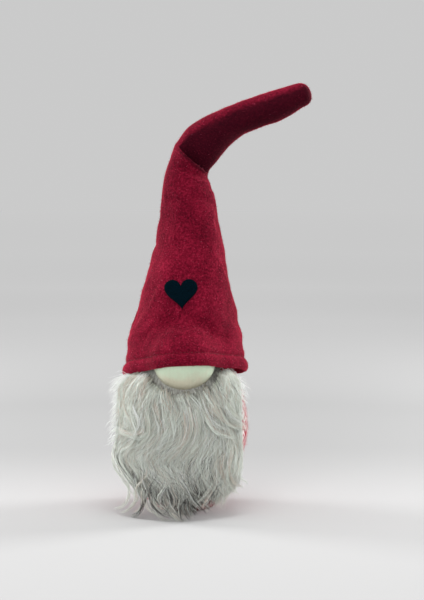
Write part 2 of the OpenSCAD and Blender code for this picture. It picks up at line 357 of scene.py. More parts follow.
def new_material(name, roughness, specular):
    """A material with its node tree and its shader."""
    mat = bpy.data.materials.new(name)
    mat.use_nodes = True
    shader = mat.node_tree.nodes["Principled BSDF"]
    shader.inputs["Roughness"].default_value = roughness
    shader.inputs["Specular IOR Level"].default_value = specular
    return mat, mat.node_tree, shader


def node(tree, kind, values=None, **settings):
    """A new node: its settings, and its inputs as values or as sockets to link."""
    made = tree.nodes.new(kind)
    for key, value in settings.items():
        setattr(made, key, value)
    for key, value in (values or {}).items():
        if isinstance(value, bpy.types.NodeSocket):
            tree.links.new(value, made.inputs[key])
        else:
            made.inputs[key].default_value = value
    return made


def places(tree, on_node=False):
    """Places at rest in metres: the piece's own attribute, or a frame node's object coordinates."""
    if on_node:
        return node(tree, "ShaderNodeTexCoord").outputs["Object"]
    return node(tree, "ShaderNodeAttribute", attribute_name="rest").outputs["Vector"]


def calc(tree, operation, *values):
    return node(tree, "ShaderNodeMath", dict(enumerate(values)), operation=operation).outputs[0]


def sway(tree, value, noise_value, amount):
    """A value moved up and down by noise from 0 to 1."""
    return calc(tree, "ADD", value, calc(tree, "MULTIPLY", calc(tree, "SUBTRACT", noise_value, 0.5), amount))


def mirrored(tree, value):
    """A value's distance from the middle of its period: from 0.5 to 0 and back, once in each unit."""
    return calc(tree, "ABSOLUTE", calc(tree, "SUBTRACT", calc(tree, "FRACT", value), 0.5))


def along_axis(tree, where, axis):
    return node(tree, "ShaderNodeSeparateXYZ", {"Vector": where}).outputs[axis]


def grain(tree, where, size, detail=2.0, rough=0.5, stretch=(1, 1, 1)):
    """Noise from 0 to 1 with features of about that size in metres."""
    scaled = node(tree, "ShaderNodeMapping", {"Vector": where, "Scale": stretch}).outputs[0]
    values = {"Vector": scaled, "Scale": 1 / size, "Detail": detail, "Roughness": rough}
    return node(tree, "ShaderNodeTexNoise", values).outputs["Fac"]


def ramp(tree, value, *stops):
    """Colours at places from 0 to 1 along a value."""
    made = node(tree, "ShaderNodeValToRGB", {"Fac": value})
    band = made.color_ramp
    band.elements[0].position, band.elements[0].color = stops[0]
    band.elements[1].position, band.elements[1].color = stops[-1]
    for position, colour in stops[1:-1]:
        band.elements.new(position).color = colour
    return made.outputs["Color"]


def mix(tree, share, a, b):
    """A mix of two colours. The mix node's colour sockets are its inputs 6 and 7 and its output 2."""
    return node(tree, "ShaderNodeMix", {0: share, 6: a, 7: b}, data_type="RGBA").outputs[2]


def bump(tree, shader, height, distance, strength=1.0):
    made = node(tree, "ShaderNodeBump", {"Height": height, "Distance": distance, "Strength": strength})
    tree.links.new(made.outputs[0], shader.inputs["Normal"])


def soft_sheen(shader, weight, tint, roughness=0.45):
    shader.inputs["Sheen Weight"].default_value = weight
    shader.inputs["Sheen Tint"].default_value = tint
    shader.inputs["Sheen Roughness"].default_value = roughness


def fleece_material():
    """Brushed fleece: fine nap in deep crimson with a sheen, mixed towards a near-black crimson by the piece's
    painted shade.
    """
    mat, tree, shader = new_material("fleece_nap", 0.95, 0.08)
    where = places(tree)
    nap = grain(tree, where, 2.0 * MM, 4, 0.75)
    patches = grain(tree, where, 26 * MM, 2, 0.5)
    share = sway(tree, nap, patches, 0.35)
    colour = ramp(tree, share, (0.28, srgb(62, 1, 17)), (0.5, srgb(107, 7, 33)), (0.72, srgb(152, 28, 56)))
    # painted shade: the piece's shade attribute mixes the nap colour towards a near-black crimson
    dark = node(tree, "ShaderNodeAttribute", attribute_name="shade").outputs["Fac"]
    tree.links.new(mix(tree, dark, colour, srgb(34, 1, 12)), shader.inputs["Base Color"])
    soft_sheen(shader, 1.0, srgb(255, 70, 100), 0.25)
    bump(tree, shader, nap, 0.6 * MM, 0.8)
    return mat


FIGURES_ROUND = 24         # white figures round the sack
FIGURE_H = 22 * MM         # and the height of each


def pattern_material():
    """Fuzzy red cloth with rows of white diamonds with red middles, in a white lattice."""
    mat, tree, shader = new_material("sack_pattern", 0.95, 0.15)
    where = places(tree)
    wobble = grain(tree, where, 3 * MM, 2)
    turn = calc(tree, "ARCTAN2", along_axis(tree, where, "X"), along_axis(tree, where, "Y"))
    across = calc(tree, "MULTIPLY", turn, FIGURES_ROUND / (2 * math.pi))
    rise = calc(tree, "MULTIPLY", along_axis(tree, where, "Z"), 1 / FIGURE_H)
    column = mirrored(tree, calc(tree, "ADD", across, calc(tree, "MULTIPLY", wobble, 0.25)))
    row = mirrored(tree, calc(tree, "ADD", rise, calc(tree, "MULTIPLY", wobble, 0.2)))
    size = calc(tree, "ADD", column, row)
    diamond = calc(tree, "LESS_THAN", size, 0.3)
    red_middle = calc(tree, "LESS_THAN", size, 0.12)
    lattice = calc(tree, "COMPARE", size, 0.68, 0.07)
    white = calc(tree, "MAXIMUM", calc(tree, "SUBTRACT", diamond, red_middle), lattice)
    nap = grain(tree, where, 2 * MM, 3, 0.65)
    red = ramp(tree, nap, (0.3, srgb(120, 8, 30)), (0.7, srgb(190, 40, 62)))
    pale = ramp(tree, nap, (0.3, srgb(205, 190, 190)), (0.7, srgb(245, 240, 238)))
    tree.links.new(mix(tree, white, red, pale), shader.inputs["Base Color"])
    soft_sheen(shader, 0.3, srgb(255, 200, 200))
    bump(tree, shader, nap, 0.8 * MM, 0.8)
    return mat


def jersey_material():
    """Fine ribbed jersey: its own colour goes from cream below to green above, and it is lighter above as
    painted light from above.
    """
    mat, tree, shader = new_material("nose_jersey", 0.9, 0.2)
    where = places(tree)
    rib = {"Vector": where, "Scale": 1 / (4.2 * MM), "Distortion": 1.2, "Detail": 2.0, "Detail Scale": 3.0}
    wave = node(tree, "ShaderNodeTexWave", rib, bands_direction="X").outputs["Fac"]
    from_foot = calc(tree, "SUBTRACT", along_axis(tree, where, "Z"), float(NOSE[2]) - NOSE_R)
    height = sway(tree, calc(tree, "DIVIDE", from_foot, NOSE_R), grain(tree, where, 9 * MM, 2), 0.5)
    # the cream-to-green hue is the jersey's own; the rise in lightness towards the top is painted light
    cream, pale, green = srgb(197, 188, 163), srgb(207, 203, 180), srgb(203, 220, 195)
    base = ramp(tree, height, (0.0, cream), (0.35, pale), (0.75, green))
    dark = mix(tree, 0.10, base, srgb(120, 120, 90))
    tree.links.new(mix(tree, wave, dark, base), shader.inputs["Base Color"])
    soft_sheen(shader, 0.2, srgb(255, 255, 240))
    fine = grain(tree, where, 0.9 * MM, 2)
    bump(tree, shader, calc(tree, "ADD", wave, fine), 0.22 * MM, 0.9)
    return mat


def fibre_material(name, low, high, size, stretch=(1, 1, 1), height=0.3 * MM, sheen=0.2, shine=0.2,
                   on_node=False):
    """Felt, thread, cord or card: two colours mixed by noise of one size, with a bump."""
    mat, tree, shader = new_material(name, 0.9, shine)
    value = grain(tree, places(tree, on_node), size, 3, 0.6, stretch)
    tree.links.new(ramp(tree, value, (0.3, srgb(*low)), (0.7, srgb(*high))), shader.inputs["Base Color"])
    if sheen:
        soft_sheen(shader, sheen, srgb(230, 230, 235))
    bump(tree, shader, value, height, 0.8)
    return mat


def knit_material(name, low, high, rib):
    """A knitted or woven face: two crossed sets of ribs."""
    mat, tree, shader = new_material(name, 0.9, 0.5)
    values = {"Vector": places(tree), "Scale": 0.3 / rib, "Distortion": 1.0, "Detail": 1.0}
    ribs = [node(tree, "ShaderNodeTexWave", values, bands_direction=way).outputs["Fac"] for way in ("X", "Z")]
    value = calc(tree, "MULTIPLY", *ribs)
    tree.links.new(ramp(tree, value, (0.0, srgb(*low)), (0.8, srgb(*high))), shader.inputs["Base Color"])
    bump(tree, shader, value, 0.3 * MM, 0.8)
    return mat


def steel_material():
    """Drawn steel wire, a little uneven."""
    mat, tree, shader = new_material("wire_steel", 0.35, 0.5)
    value = grain(tree, places(tree, True), 2 * MM, 3)
    colour = ramp(tree, value, (0.3, srgb(150, 152, 156)), (0.7, srgb(196, 198, 202)))
    tree.links.new(colour, shader.inputs["Base Color"])
    shader.inputs["Metallic"].default_value = 1.0
    return mat


def plain_material(name, colour, roughness):
    mat, _, shader = new_material(name, roughness, 0.3)
    shader.inputs["Base Color"].default_value = srgb(*colour)
    return mat


def plain_materials(roughness, **colours):
    """A plain material for each named colour."""
    return [plain_material(name, colour, roughness) for name, colour in colours.items()]


FLEECE = fleece_material()
HAT_FUZZ = plain_materials(0.8, fuzz_crimson=(110, 9, 33), fuzz_rose=(200, 50, 82), fuzz_pale=(232, 118, 146))
SACK = pattern_material()
SACK_FUZZ = plain_materials(0.8, sack_fuzz_red=(190, 40, 62), sack_fuzz_white=(240, 232, 230))
JERSEY = jersey_material()
FELT = fibre_material("heart_felt", (1, 6, 10), (3, 24, 34), 0.8 * MM, sheen=0.0, shine=0.02)
FUR = plain_materials(
    0.5,
    fur_shadow=(84, 82, 81),
    fur_grey=(168, 168, 163),
    fur_mid=(218, 222, 212),
    fur_beige=(218, 208, 196),
    fur_light=(238, 244, 236),
    fur_white=(250, 252, 250),
)
FUR_SHADOW, FUR_GREY, FUR_MID, _, FUR_LIGHT, FUR_WHITE = range(len(FUR))
# Undercoat: grey fur under the locks, its colours darker than the strands as painted shade deep in the pile
UNDERCOAT = fibre_material("undercoat", (120, 118, 114), (196, 197, 190), 1.6 * MM, (1, 1, 0.15), 0.8 * MM)
BACKING = knit_material("fur_backing_knit", (150, 148, 142), (206, 204, 198), 1.1 * MM)
PLAIN_RED = fibre_material("bottom_cloth", (96, 6, 24), (150, 26, 48), 1.6 * MM)
BAG_CLOTH = knit_material("bag_weave", (176, 164, 140), (216, 206, 184), 0.9 * MM)
RED_THREAD = fibre_material("hem_thread", (70, 2, 18), (120, 8, 34), 0.5 * MM)
WHITE_THREAD = fibre_material("seam_thread", (190, 186, 180), (240, 238, 232), 0.5 * MM)


# ---------- camera, floor and lights ----------

CAMERA_TILT = math.radians(5)
CAMERA_AWAY = 1.6
VIEW_H = 0.6               # height of the view at the figure
AIM = Vector((29 * MM, 0, 208 * MM))


def make_camera():
    camera = add_object("camera", bpy.data.cameras.new("camera"))
    back = Vector((0, -math.cos(CAMERA_TILT), math.sin(CAMERA_TILT)))
    camera.location = AIM + back * CAMERA_AWAY
    camera.rotation_euler = (-back).to_track_quat("-Z", "Y").to_euler()
    camera.data.sensor_width = 36
    camera.data.lens = camera.data.sensor_width * CAMERA_AWAY / VIEW_H
    bpy.context.scene.camera = camera


FLOOR_R = 9.6
FLOOR_SIDES = 64

# How pale the floor is at each distance from the figure, in metres: it meets the plain background evenly
FLOOR_TONES = [(0, 0.38), (0.7, 0.40), (1.9, 0.74), (2.8, 0.90), (4.4, 0.965), (FLOOR_R, 1.0)]
FRONT_PAINTED_LIGHT_TONE = 0.52          # painted light: how pale the floor is close in front of the figure, a lighter pool there


def eased(tree, value, low, high):
    """From 0 where a value is low to 1 where it is high, smooth between."""
    ends = {"Value": value, "From Min": low, "From Max": high}
    return node(tree, "ShaderNodeMapRange", ends, interpolation_type="SMOOTHSTEP").outputs["Result"]


def make_floor():
    """A plain pale floor, with a pool of painted light just in front of the figure."""
    turn = 2 * np.pi * np.arange(FLOOR_SIDES) / FLOOR_SIDES
    floor = make_object("studio_floor", level_ring(turn, FLOOR_R, 0.0), [tuple(range(FLOOR_SIDES))])
    mat, tree, shader = new_material("studio_paper", 1.0, 0.0)
    place = places(tree, True)
    away = node(tree, "ShaderNodeVectorMath", {0: place}, operation="LENGTH").outputs["Value"]
    stops = [(at / FLOOR_R, (tone, tone, tone, 1)) for at, tone in FLOOR_TONES]
    plain = ramp(tree, calc(tree, "DIVIDE", away, FLOOR_R), *stops)
    in_front = eased(tree, along_axis(tree, place, "Y"), 0.35, -0.05)
    close = eased(tree, away, 1.5, 0.5)
    painted_light = calc(tree, "MULTIPLY", in_front, close)
    colour = mix(tree, painted_light, plain, (FRONT_PAINTED_LIGHT_TONE, FRONT_PAINTED_LIGHT_TONE, FRONT_PAINTED_LIGHT_TONE, 1))
    tree.links.new(colour, shader.inputs["Base Color"])
    floor.data.materials.append(mat)


# Lamps: name, place, width, height, power. All point at the middle of the figure
LAMPS = [
    ("top", (0.0, -0.2, 1.7), 1.0, 1.0, 13),
    ("key", (-0.9, -2.7, 0.85), 1.2, 1.2, 26),
    ("left_edge", (-1.3, 0.55, 0.6), 0.5, 1.0, 17),
    ("right_edge", (1.3, 0.55, 0.6), 0.5, 1.0, 20),
]
LAMP_AIM = Vector((0, 0, 0.22))


def make_lights():
    for name, place, width, height, power in LAMPS:
        data = bpy.data.lights.new(name, "AREA")
        data.shape = "RECTANGLE"
        data.size = width
        data.size_y = height
        data.energy = power
        lamp = add_object(name, data)
        lamp.location = place
        lamp.rotation_euler = (LAMP_AIM - Vector(place)).to_track_quat("-Z", "Y").to_euler()
    world = bpy.data.worlds.new("studio")
    bpy.context.scene.world = world
    world.use_nodes = True
    background = world.node_tree.nodes["Background"]
    background.inputs["Color"].default_value = srgb(250, 250, 250)
    background.inputs["Strength"].default_value = 0.62


make_camera()
make_floor()
make_lights()
bpy.context.scene.view_settings.view_transform = "Standard"


# ---------- hat ----------

RING = 160                 # points round a ring of the hat, from its back
HAT_ANGLES = math.pi + 2 * math.pi * np.arange(RING) / RING

# The cone's middle and radius at several heights, in millimetres: it leans and sags a little
CONE_Z = np.array([120, 136, 168, 214, 264, 293, 308]) * MM
CONE_X = np.array([2.6, 2.6, 2.1, 3.6, 7.0, 6.4, 5.3]) * MM
CONE_R = np.array([62.0, 59.9, 56.2, 46.8, 35.0, 29.8, 26.6]) * MM

# From the cone to the end of the tip, in millimetres: middle X and Z, heading from upright in degrees, radius
BEND_ROUTE = [
    (5.2, 308, 0, 26.4), (5.1, 317, 6, 25.2), (5.2, 326, 13, 23.6), (5.6, 333, 19, 22.4),
    (6.4, 340.5, 28, 21.0), (8.8, 349.5, 39, 21.8),
]
TIP_ROUTE = [
    (11.2, 353.4, 41, 21.4), (19.0, 362.8, 45, 22.0), (28.0, 370.8, 50, 20.4), (37.4, 377.8, 57, 18.3),
    (53, 386.7, 65, 16), (72, 394, 69, 15.7), (91.7, 400.8, 70, 15.5), (105, 406.2, 72, 13.9),
    (115, 411, 72, 12),
]
BEND_STEPS = 3             # rings for each station of the bend
TIP_STEPS = 4              # and of the tip
FOLD_TURN = math.radians(28)   # the fold is deepest this far to the right of the front
SAG = 4.0                  # how far the fold sags down the front, in millimetres
SINK = 9.6                 # how far the tip starts out sunk in behind the fold

# The fold's lip in front: how far each ring sinks in, and how far it slides back under the one before
LIP = [(-1.6, -0.8), (-1.0, -1.8), (1.8, -1.6), (5.5, 1.0), (9.0, 3.4), (10.0, 3.2)]
LIP_STEP = 0.5

# The round end of the tip: how far forward and how wide, as shares of its radius
TIP_END = [(0.38, 0.96), (0.66, 0.84), (0.86, 0.62), (0.97, 0.36), (1.0, 0.12)]


def cone_at(z, table):
    return np.interp(z, CONE_Z, table)


def hat_radius(angle, z):
    """Distance from the cone's middle to the fleece, which bridges softly over the nose."""
    x0 = cone_at(z, CONE_X)
    cone = cone_at(z, CONE_R)
    low, high = cone.copy(), cone + 40 * MM
    for _ in range(26):
        r = (low + high) / 2
        to_cone = r - cone
        to_nose = np.sqrt(
            (x0 + r * np.sin(angle) - NOSE[0]) ** 2 + (-r * np.cos(angle) - NOSE[1]) ** 2 + (z - NOSE[2]) ** 2
        ) - BULGE_R
        h = np.clip(0.5 + 0.5 * (to_nose - to_cone) / BULGE_SOFT, 0, 1)
        inside = to_nose + (to_cone - to_nose) * h - BULGE_SOFT * h * (1 - h) < 0
        low, high = np.where(inside, r, low), np.where(inside, high, r)
    return (low + high) / 2


def hem_height(angle):
    """Height of the hem's lower edge round the hat: the nose lifts its front."""
    z = np.full_like(angle, HEM_Z)
    for _ in range(8):
        r = hat_radius(angle, z)
        z = HEM_Z + r * np.cos(angle) * math.tan(HEM_PITCH) + r * np.sin(angle) * math.tan(HEM_ROLL)
    return z


def cone_ring(angle, z, out):
    r = hat_radius(angle, z) + out
    return np.stack([cone_at(z, CONE_X) + r * np.sin(angle), -r * np.cos(angle), z], -1)


def tilted_ring(x, z, heading, radius, front_in=0.0, under=0.0):
    """A ring of the bent part, from millimetres. front_in sinks its front, and under slides it back."""
    x, z, radius, front_in, under = (size * MM for size in (x, z, radius, front_in, under))
    angle = HAT_ANGLES
    h = math.radians(heading)
    side, onward = np.array([math.cos(h), 0, -math.sin(h)]), np.array([math.sin(h), 0, math.cos(h)])
    front = smooth01(np.cos(angle - FOLD_TURN) / 0.95)
    r = radius - front_in * front
    return (
        np.array([x, 0, z])
        + side * (radius * np.sin(angle))[:, None]
        + np.array([0, -1, 0]) * (r * np.cos(angle))[:, None]
        - onward * (under * front)[:, None]
    )


def ahead(x, z, heading, distance):
    """The place that far on along a heading."""
    h = math.radians(heading)
    return x + distance * math.sin(h), z + distance * math.cos(h)


def route_between(route, parts):
    """More stations between those of a route, on smooth curves through them."""
    route = np.array(route, float)
    out = []
    for i in range(len(route) - 1):
        a, b, c, d = (route[min(max(i + k, 0), len(route) - 1)] for k in (-1, 0, 1, 2))
        for s in range(parts):
            t = s / parts
            out.append(0.5 * (2 * b + (c - a) * t + (2 * a - 5 * b + 4 * c - d) * t * t
                              + (3 * b - a - 3 * c + d) * t ** 3))
    return out + [route[-1]]


# Cross-section of the turned-up hem, in millimetres: distance out from the cone, height above the hem's edge
HEM_LINE = [
    (-1.8, 9), (-1.9, 5), (-1.7, 2.2), (-1.0, 0.4), (0.0, -0.3), (1.3, 0.2), (2.6, 1.8), (3.5, 4.2),
    (3.7, 7.0), (3.2, 9.6), (2.0, 11.4), (0.7, 12.3), (0.3, 12.9), (0.8, 13.9), (1.6, 16.2), (1.6, 19),
    (1.0, 22.5), (0.4, 27),
]
HEM_GROOVE = 12            # the hem line's point that the stitches run along
CONE_STEPS = 36            # rings from the hem to the bend


def hat_rings():
    """Rings of the outer fleece from inside the hem to the end of the tip."""
    edge = hem_height(HAT_ANGLES)
    rings = [cone_ring(HAT_ANGLES, edge + height * MM, out * MM) for out, height in HEM_LINE]
    foot = edge + HEM_LINE[-1][1] * MM
    top = CONE_Z[-1]
    for k in range(1, CONE_STEPS + 1):
        rings.append(cone_ring(HAT_ANGLES, foot + (top - foot) * k / CONE_STEPS, 0))
    for x, z, heading, r in route_between(BEND_ROUTE, BEND_STEPS)[1:]:
        ridge = 1.3 * math.exp(-((z - 332.5) / 2.2) ** 2) - 1.1 * math.exp(-((z - 338.5) / 2.6) ** 2)
        rings.append(tilted_ring(x, z, heading, r, -ridge, SAG * smooth01((z - 324) / 25)))
    x, z, heading, r = BEND_ROUTE[-1]
    for k, (front_in, under) in enumerate(LIP):
        on = LIP_STEP * (k + 1)
        rings.append(tilted_ring(*ahead(x, z, heading, on), heading, r, front_in, under + on + SAG))
    sink = SINK
    sag = SAG
    for x, z, heading, r in route_between(TIP_ROUTE, TIP_STEPS):
        rings.append(tilted_ring(x, z, heading, r, sink, sag))
        sink *= 0.84
        sag *= 0.8
    for forward, share in TIP_END:
        rings.append(tilted_ring(*ahead(x, z, heading, r * forward), heading, r * share))
    return np.array(rings)


def hat_painted_shade(points, out):
    """Painted shade on the fleece: a little on the upper cone, and much past the fold, all but along the tip's
    upper side, which is kept light as if lit from above.
    """
    # painted shade: darker towards the top of the cone
    high = 0.13 * smooth01((points[:, 2] - 240 * MM) / (70 * MM))
    # painted shade past the fold, less where the surface faces up and to the left
    past = smooth01(((points - BEND) @ BEND_WAY + 4 * MM) / (5 * MM))
    upward = out @ np.array([-math.sin(math.radians(30)), 0, math.cos(math.radians(30))])
    return np.maximum(high, 0.85 * past * (1 - smooth01((upward - 0.3) / 0.55)))


def lumpy(obj, *lumps):
    """Pushes a surface in and out by noise: each lump is a height, a width and a seed, in millimetres."""
    co = coordinates(obj)
    push(obj, sum(height * MM * field(co, width * MM, seed) for height, width, seed in lumps))


hat = closed_rings("hat_skin", hat_rings())
ring_of = np.arange(len(hat.data.vertices)) // RING
last_free = len(HEM_LINE) + CONE_STEPS + BEND_STEPS * (len(BEND_ROUTE) - 2) - 10
inflate(hat, (ring_of < len(HEM_LINE)) | (ring_of > last_free), 1.8 * MM, 0.1 * MM)
subdivide(hat)
lumpy(hat, (0.9, 34, 1), (0.45, 13, 2), (0.15, 4, 3))
dress(hat, FLEECE)
keep_painted_shade(hat, hat_painted_shade(coordinates(hat), normals(hat)))
hat_tree = BVHTree.FromObject(hat, bpy.context.evaluated_depsgraph_get())


def blend_tip(obj):
    """Bakes the piece's placement into its mesh."""
    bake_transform(obj)


blend_tip(hat)
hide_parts("hat_cover", "hat_hem", "hat_stuffing", "tip_cover", "tip_stuffing")

# fibres in the painted shade take the dark crimson tint
hat_nap = fuzz("hat_nap", hat, 32000, 1.3 * MM, 0.10 * MM, (0.5, 0.38, 0.12), shaded_share=hat_painted_shade)
dress(hat_nap, *HAT_FUZZ)
blend_tip(hat_nap)


# ---------- heart ----------

def heart_outline(count):
    """Points of a plump heart, one unit wide, point down, middle at the origin."""
    t = 2 * np.pi * np.arange(count) / count
    x = 16 * np.sin(t) ** 3
    z = 13 * np.cos(t) - 5 * np.cos(2 * t) - 2 * np.cos(3 * t) - np.cos(4 * t)
    z = z - (z.max() + z.min()) / 2
    return np.stack([x, z], 1) / (x.max() - x.min())


def on_hat(x, z, out):
    """The point of the hat's front at x, z, moved out by out."""
    hit, normal, _, _ = hat_tree.ray_cast(Vector((x, -0.3, z)), Vector((0, 1, 0)))
    return np.array(hit + normal * out)


HEART_POINTS = 96
HEART_LEAN = math.radians(3.4)

# The felt from its foot over its cut edge to its middle: share of its width, and millimetres off the hat
HEART_LAYERS = [
    (1.0, -0.5), (1.0, 0.8), (0.985, 1.5), (0.95, 1.9), (0.85, 2.05), (0.7, 2.1), (0.5, 2.15), (0.3, 2.15),
    (0.12, 2.15),
]


def make_heart():
    c, s = math.cos(HEART_LEAN), math.sin(HEART_LEAN)
    outline = heart_outline(HEART_POINTS) @ np.array([[c, s], [-s, c]])
    rings = []
    for share, out in HEART_LAYERS:
        flat = outline * share * HEART_W
        rings.append([on_hat(HEART[0] + x, HEART[2] + z, out * MM) for x, z in flat])
    return closed_rings("heart", rings)


heart = make_heart()
lumpy(heart, (0.12, 2.5, 4))
dress(heart, FELT)
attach(heart, "figure")
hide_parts("heart_patch")


# ---------- nose ----------

def make_nose():
    """A ball of stuffed jersey, gathered into small folds at its back."""
    count = 40
    sides = 96
    turn = 2 * np.pi * np.arange(sides) / sides
    folds = 0.5 + 0.5 * np.sin(18 * turn)
    rings = []
    for i in range(count):
        a = np.pi * (0.015 + 0.97 * i / (count - 1))
        gather = smooth01((a - 2.2) / 0.8)
        r = NOSE_R * math.sin(a) * (1 - 0.05 * gather * folds)
        y = -NOSE_R * math.cos(a) + 2.0 * MM * gather ** 3
        rings.append(np.stack([r * np.cos(turn), np.full(sides, y), r * np.sin(turn)], 1) + NOSE)
    return closed_rings("nose", rings[::-1])


nose = make_nose()
lumpy(nose, (0.5, 20, 5), (0.12, 5, 6))
dress(nose, JERSEY)
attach(nose, "figure")
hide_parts("nose_cover", "nose_stuffing")


# ---------- body ----------

# The sack's foot, as shares of the base's radius, and its neck, tied and then flared, as radii. Each has its
# height, and all but the shares are millimetres
FOOT_LINE = [(0.90, 0.9), (0.97, 0.5), (1.0, 1.2)]
NECK_LINE = [(21, 168), (11.5, 171.5), (10, 174), (11.5, 176.5), (14.5, 181), (17, 186)]


def make_body():
    """The sack: rounded at its foot, pleated towards its neck and drawn in there."""
    sides = 144
    turn = 2 * np.pi * np.arange(sides) / sides
    pleats = 0.5 + 0.5 * np.sin(16 * turn + 1.3 * np.sin(3 * turn))
    rings = [level_ring(turn, BASE_R * share, z * MM) for share, z in FOOT_LINE]
    for z in np.linspace(3.5 * MM, NECK_Z, 44):
        high = smooth01((z - 120 * MM) / (NECK_Z - 120 * MM))
        rings.append(level_ring(turn, body_r(z) * (1 - 0.05 * high * pleats), z))
    for r, z in NECK_LINE:
        rings.append(level_ring(turn, r * MM * (1 - 0.16 * pleats), z * MM))
    return closed_rings("body_cloth", out_of_nose(np.array(rings), 0.3 * MM))


body = make_body()
at_z = coordinates(body)[:, 2]
inflate(body, (at_z < 4 * MM) | (at_z > 160 * MM), 2.2 * MM, 1.2 * MM)
subdivide(body)
co = coordinates(body)
push(body, (0.9 * field(co, 30 * MM, 7) + 0.5 * field(co, 11 * MM, 8)) * MM * smooth01(co[:, 2] / (14 * MM)))
dress(body, SACK)
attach(body, "figure")
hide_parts("body_cover", "body_stuffing")


def off_the_floor(points, out):
    return points[:, 2] > 4 * MM


body_nap = fuzz("body_nap", body, 16000, 2.4 * MM, 0.14 * MM, (0.5, 0.5), 1.2, off_the_floor)
dress(body_nap, *SACK_FUZZ)
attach(body_nap, "figure")


# ---------- beard ----------

LEFT = math.radians(-64)   # how far the pile goes round to each side, from the front
RIGHT = math.radians(50)
POINTS = 12                # points along a strand
ROOT_OUT = 1.5 * MM        # the roots are this far off the body
RAGGED = 4.5 * MM          # how unevenly the locks end

# Where the locks end across the front, in millimetres: the middle ones reach the floor
FOOT_X = np.array([-75, -62, -56, -48, -40, -33, -24, -12, 0, 8, 14, 20, 26, 32, 38, 46, 56, 66]) * MM
FOOT_Z = np.array([54, 49, 41, 32, 24, 19, 12, 7, 4, 6, 17, 16, 14, 17, 22, 27, 32, 39]) * MM


def sideways(x, z):
    """Slope of the locks towards +X as they come down, seen from the front: out, then left, then right."""
    u = x / (60 * MM)
    upper = 0.12 + 0.42 * u
    middle = -0.75 + 0.95 * np.maximum(u, 0) + 0.35 * np.minimum(u, 0)
    lower = 0.42 - 0.75 * u
    high = smooth01((z - 78 * MM) / (18 * MM))
    low = smooth01((66 * MM - z) / (14 * MM))
    swirl = 0.20 * np.sin(75 * x + 60 * z) + 0.14 * np.sin(140 * x - 100 * z + 1.7)
    return upper * high + lower * low + middle * (1 - high) * (1 - low) + swirl


def lock_roots(count, low, high):
    """Random places on the backing, as angle round the body and height, clear of the nose."""
    around, height = np.zeros(0), np.zeros(0)
    while len(around) < count:
        a, z = rng.uniform(LEFT, RIGHT, count), rng.uniform(low, high, count)
        place = around_front(a, drape_r(z) + ROOT_OUT, z)
        clear = np.linalg.norm(place - NOSE, axis=1) > NOSE_R + 2 * MM
        clear &= z > np.interp(place[:, 0], FOOT_X, FOOT_Z) + 16 * MM
        clear &= z < hem_height(a) - 2 * MM
        around, height = np.append(around, a[clear]), np.append(height, z[clear])
    return around[:count], height[:count]


def cut_at_foot(path, lift):
    """Shortens each lock so that it ends at the foot line, or that much above it in the middle."""
    foot = np.interp(path[:, :, 0], FOOT_X, FOOT_Z) + rng.normal(0, RAGGED, len(path))[:, None]
    foot += lift * smooth01((50 * MM - np.abs(path[:, :, 0] + 12 * MM)) / (20 * MM))
    foot = np.maximum(foot, 0.6 * MM)
    above = path[:, :, 2] - foot
    at = np.linspace(0, 1, path.shape[1])
    for i, line in enumerate(path):
        below = np.nonzero(above[i] < 0)[0]
        if len(below):
            k = max(below[0], 1)
            past = above[i, k] / min(above[i, k] - above[i, k - 1], -1e-6)
            end = max(at[k] - at[1] * np.clip(past, 0, 1), 0.12)
            path[i] = np.stack([np.interp(at * end, at, line[:, c]) for c in range(3)], 1)
    path[:, :, 2] = np.maximum(path[:, :, 2], 0.6 * MM)
    return path


def lock_paths(count, low, high, short, long, rise, curl, lift):
    """Middle lines of locks: each grows out of the backing, then follows the flow with its own waves."""
    around, z = lock_roots(count, low, high)
    length = rng.uniform(short, long, count)
    swing = rng.normal(0, 0.15, count)
    phase = rng.uniform(0, 2 * np.pi, count)
    curl = curl * rng.uniform(0.4, 1.6, count)
    pitch = rng.uniform(36, 80, count) * MM
    step = length / (POINTS - 1)
    rise = rise * rng.uniform(0.8, 1.15, count)
    start = drape_r(z)
    to_nose = np.linalg.norm(around_front(around, start, z) - NOSE, axis=1) - NOSE_R
    root = start + ROOT_OUT + 9 * MM * (1 - smooth01(to_nose / (24 * MM)))
    side = np.zeros(count)
    path = []
    for k in range(POINTS):
        s = k / (POINTS - 1)
        angle = around + side / BELLY_R
        full = BELLY_R + ROOT_OUT + rise * (0.3 + 0.7 * np.cos(angle) ** 2)
        r = root + (full - root) * (1 - (1 - s) ** 4) ** 0.7
        path.append(around_front(angle, r, z))
        slope = sideways(path[-1][:, 0], z) + swing + curl * np.sin(2 * np.pi * s * length / pitch + phase)
        slope = np.where((angle < LEFT) & (slope < 0) | (angle > RIGHT) & (slope > 0), 0, slope)
        down = 1 / np.sqrt(1 + slope ** 2)
        side = side + step * slope * down
        z = z - step * down
    return out_of_nose(cut_at_foot(np.stack(path, 1), lift))


